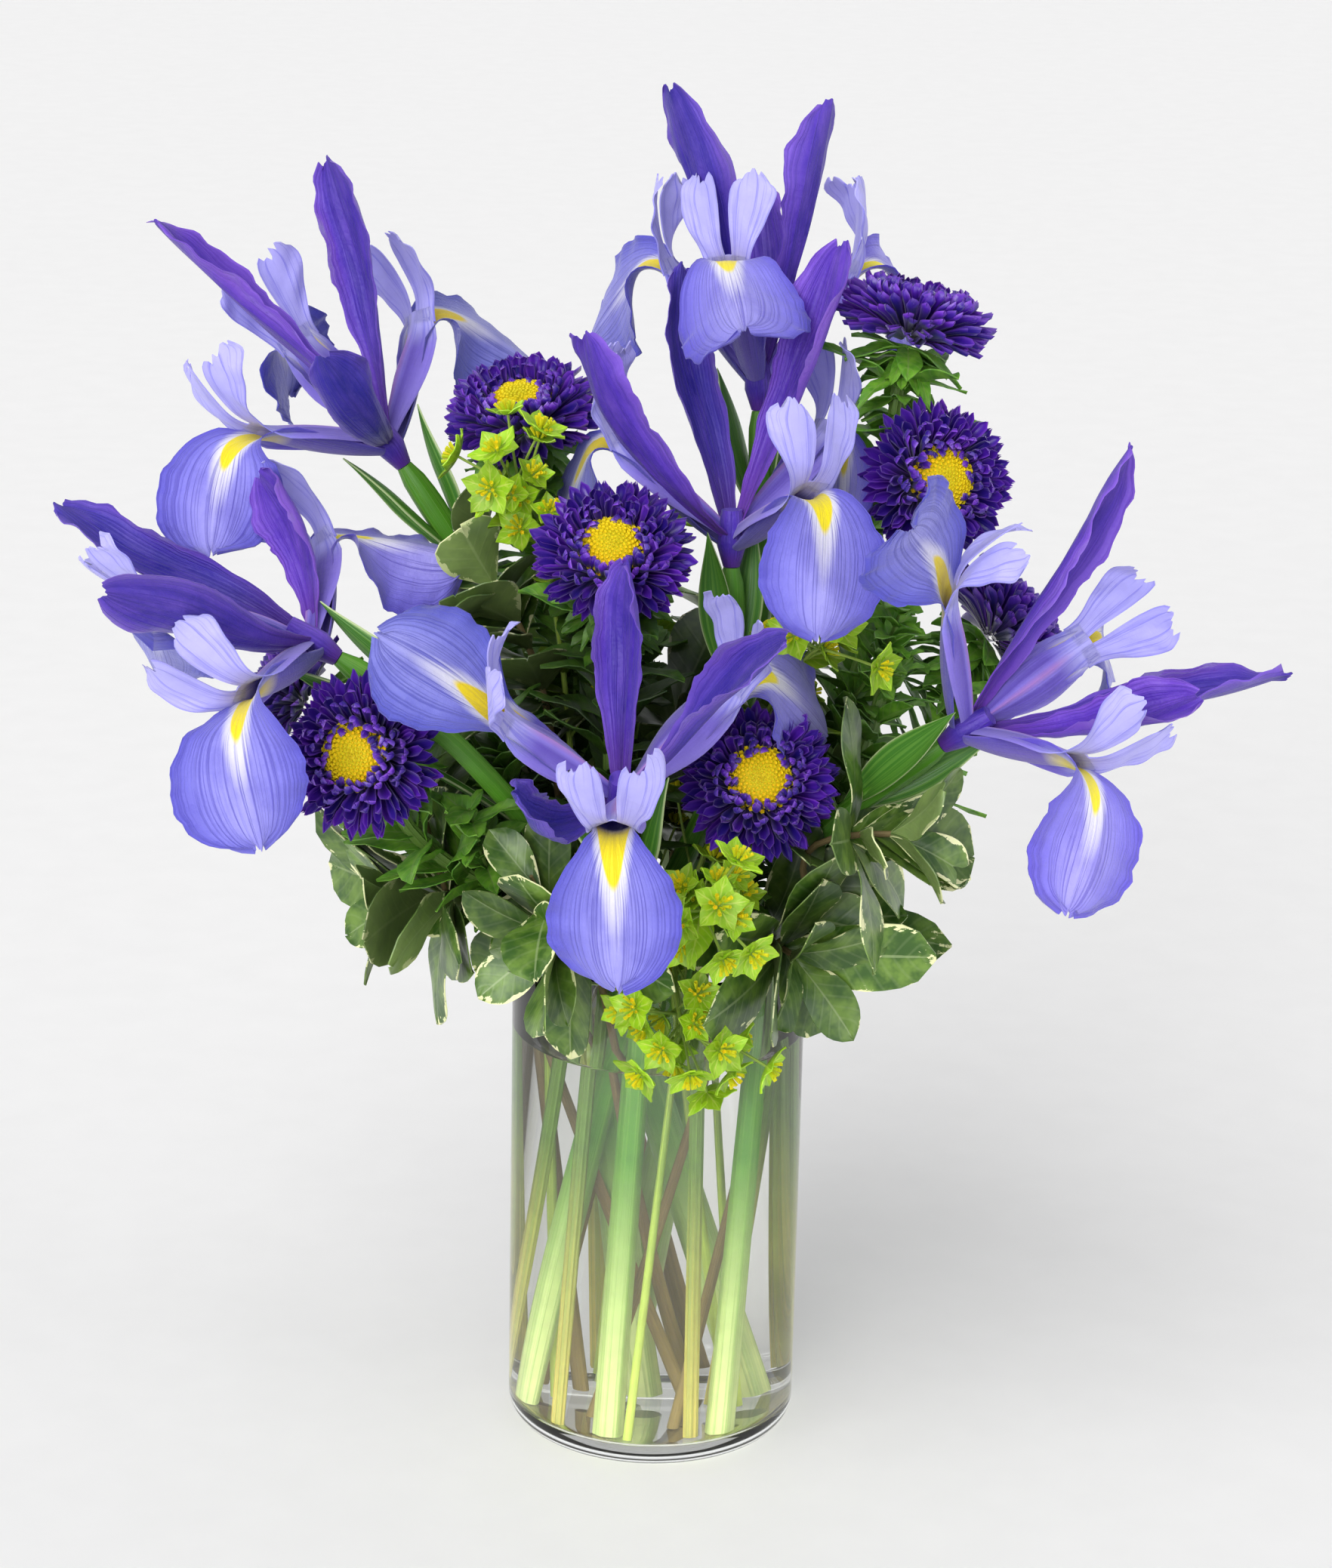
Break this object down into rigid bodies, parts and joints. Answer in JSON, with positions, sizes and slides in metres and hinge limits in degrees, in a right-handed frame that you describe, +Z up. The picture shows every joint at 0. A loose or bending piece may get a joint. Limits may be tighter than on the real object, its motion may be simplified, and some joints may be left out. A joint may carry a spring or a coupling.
{
  "type": "irises in a vase",
  "caption": "Bouquet of blue Dutch irises and purple asters with variegated foliage, standing in water in a clear glass cylinder vase.",
  "frame": {"origin": "centre of the vase's foot, on the surface that it stands on", "axes": "+Z up, -Y towards the front of the bouquet, +X to its right seen from the front"},
  "size_m": [0.4044, 0.252, 0.4616],
  "materials": {
    "clear_glass": "clear polished soda-lime glass",
    "water": "clear still water",
    "iris_petal": "thin satin petal, violet-blue with a yellow signal on each fall",
    "iris_green": "waxy green stem, spathe and leaf",
    "aster_floret": "velvety deep violet ray floret",
    "aster_disc": "golden yellow disc florets",
    "aster_green": "ribbed green stem, bracts and leaves",
    "pittosporum_leaf": "leathery grey-green leaf with a cream edge, on a woody twig",
    "bupleurum_bract": "thin yellow-green bract and stem"
  },
  "bodies": {
    "root": {"vase": "clear_glass", "water": "water", "iris_upper_left_bloom": "iris_petal", "iris_left_bloom": "iris_petal", "iris_back_bloom": "iris_petal", "iris_centre_bloom": "iris_petal", "iris_front_bloom": "iris_petal", "iris_right_bloom": "iris_petal", "iris_upper_left_stem": "iris_green", "iris_left_stem": "iris_green", "iris_back_stem": "iris_green", "iris_centre_stem": "iris_green", "iris_front_stem": "iris_green", "iris_right_stem": "iris_green", "aster_upper_left_florets": "aster_floret", "aster_centre_florets": "aster_floret", "aster_top_right_florets": "aster_floret", "aster_right_florets": "aster_floret", "aster_left_florets": "aster_floret", "aster_front_florets": "aster_floret", "aster_far_left_florets": "aster_floret", "aster_far_right_florets": "aster_floret", "aster_upper_left_disc": "aster_disc", "aster_centre_disc": "aster_disc", "aster_top_right_disc": "aster_disc", "aster_right_disc": "aster_disc", "aster_left_disc": "aster_disc", "aster_front_disc": "aster_disc", "aster_far_left_disc": "aster_disc", "aster_far_right_disc": "aster_disc", "aster_upper_left_stem": "aster_green", "aster_centre_stem": "aster_green", "aster_top_right_stem": "aster_green", "aster_right_stem": "aster_green", "aster_left_stem": "aster_green", "aster_front_stem": "aster_green", "aster_far_left_stem": "aster_green", "aster_far_right_stem": "aster_green", "pittosporum_front_left": "pittosporum_leaf", "pittosporum_front_right": "pittosporum_leaf", "pittosporum_right": "pittosporum_leaf", "pittosporum_left": "pittosporum_leaf", "pittosporum_upper_left": "pittosporum_leaf", "pittosporum_back_left": "pittosporum_leaf", "pittosporum_back": "pittosporum_leaf", "pittosporum_back_right": "pittosporum_leaf", "bupleurum_front": "bupleurum_bract", "bupleurum_front_low": "bupleurum_bract", "bupleurum_left": "bupleurum_bract", "bupleurum_right": "bupleurum_bract", "bupleurum_back": "bupleurum_bract"}
  },
  "joints": []
}
